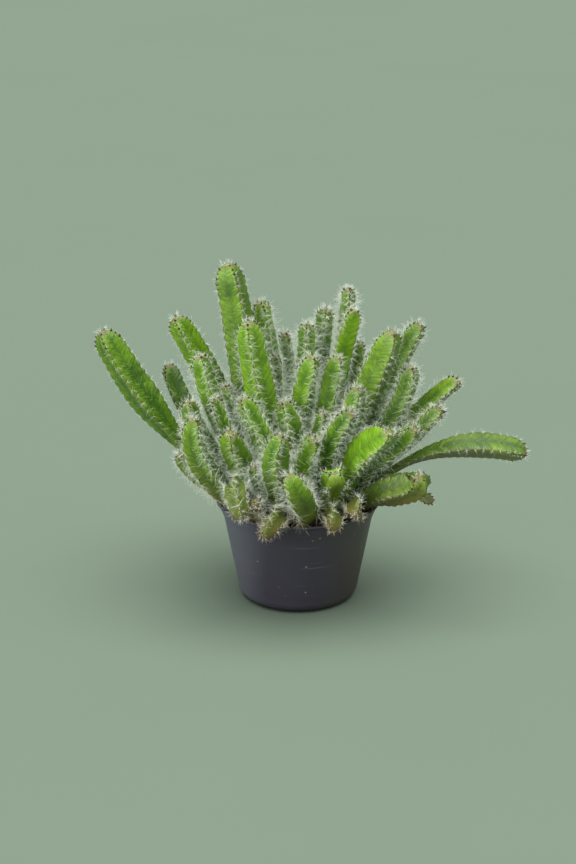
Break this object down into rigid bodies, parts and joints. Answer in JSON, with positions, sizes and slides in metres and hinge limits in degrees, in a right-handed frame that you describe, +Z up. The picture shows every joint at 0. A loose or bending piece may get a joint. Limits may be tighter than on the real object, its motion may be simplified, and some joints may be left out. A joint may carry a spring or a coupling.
{
  "type": "potted dragon fruit cactus",
  "caption": "Young dragon fruit cactus: a dense fan of ribbed, spiny seedling stems standing in a small tapered plastic nursery pot of soil.",
  "frame": {"origin": "the middle of the pot's underside, on the surface that it stands on", "axes": "+Z up, out of the pot's mouth; -Y to the front, the side that the picture shows; +X to the right of that side, along the longest spread of the stems"},
  "size_m": [0.2741, 0.1662, 0.2177],
  "materials": {
    "stem_green": "satin",
    "pot_plastic": "satin",
    "potting_soil": "matte"
  },
  "bodies": {
    "root": {"pot": "pot_plastic", "soil": "potting_soil", "stem_back_1": "stem_green", "stem_back_10": "stem_green", "stem_back_2": "stem_green", "stem_back_3": "stem_green", "stem_back_4": "stem_green", "stem_back_5": "stem_green", "stem_back_6": "stem_green", "stem_back_7": "stem_green", "stem_back_8": "stem_green", "stem_back_9": "stem_green", "stem_front_1": "stem_green", "stem_front_2": "stem_green", "stem_front_3": "stem_green", "stem_front_4": "stem_green", "stem_front_5": "stem_green", "stem_front_6": "stem_green", "stem_front_7": "stem_green", "stem_left_1": "stem_green", "stem_left_2": "stem_green", "stem_left_3": "stem_green", "stem_left_4": "stem_green", "stem_left_5": "stem_green", "stem_left_6": "stem_green", "stem_left_7": "stem_green", "stem_left_8": "stem_green", "stem_left_9": "stem_green", "stem_middle_1": "stem_green", "stem_middle_2": "stem_green", "stem_middle_3": "stem_green", "stem_middle_4": "stem_green", "stem_middle_5": "stem_green", "stem_middle_6": "stem_green", "stem_middle_7": "stem_green", "stem_middle_8": "stem_green", "stem_middle_9": "stem_green", "stem_right_1": "stem_green", "stem_right_2": "stem_green", "stem_right_3": "stem_green", "stem_right_4": "stem_green", "stem_right_5": "stem_green", "stem_right_6": "stem_green", "stem_right_7": "stem_green", "stem_right_8": "stem_green", "stem_rim_1": "stem_green", "stem_rim_2": "stem_green", "stem_rim_3": "stem_green", "stem_rim_4": "stem_green", "stem_rim_5": "stem_green", "stem_tall_1": "stem_green", "stem_tall_2": "stem_green", "stem_tall_3": "stem_green", "stem_tall_4": "stem_green", "stem_tall_5": "stem_green", "stem_tall_6": "stem_green", "stem_tall_7": "stem_green", "stem_tall_8": "stem_green", "stem_tall_9": "stem_green"}
  },
  "joints": []
}
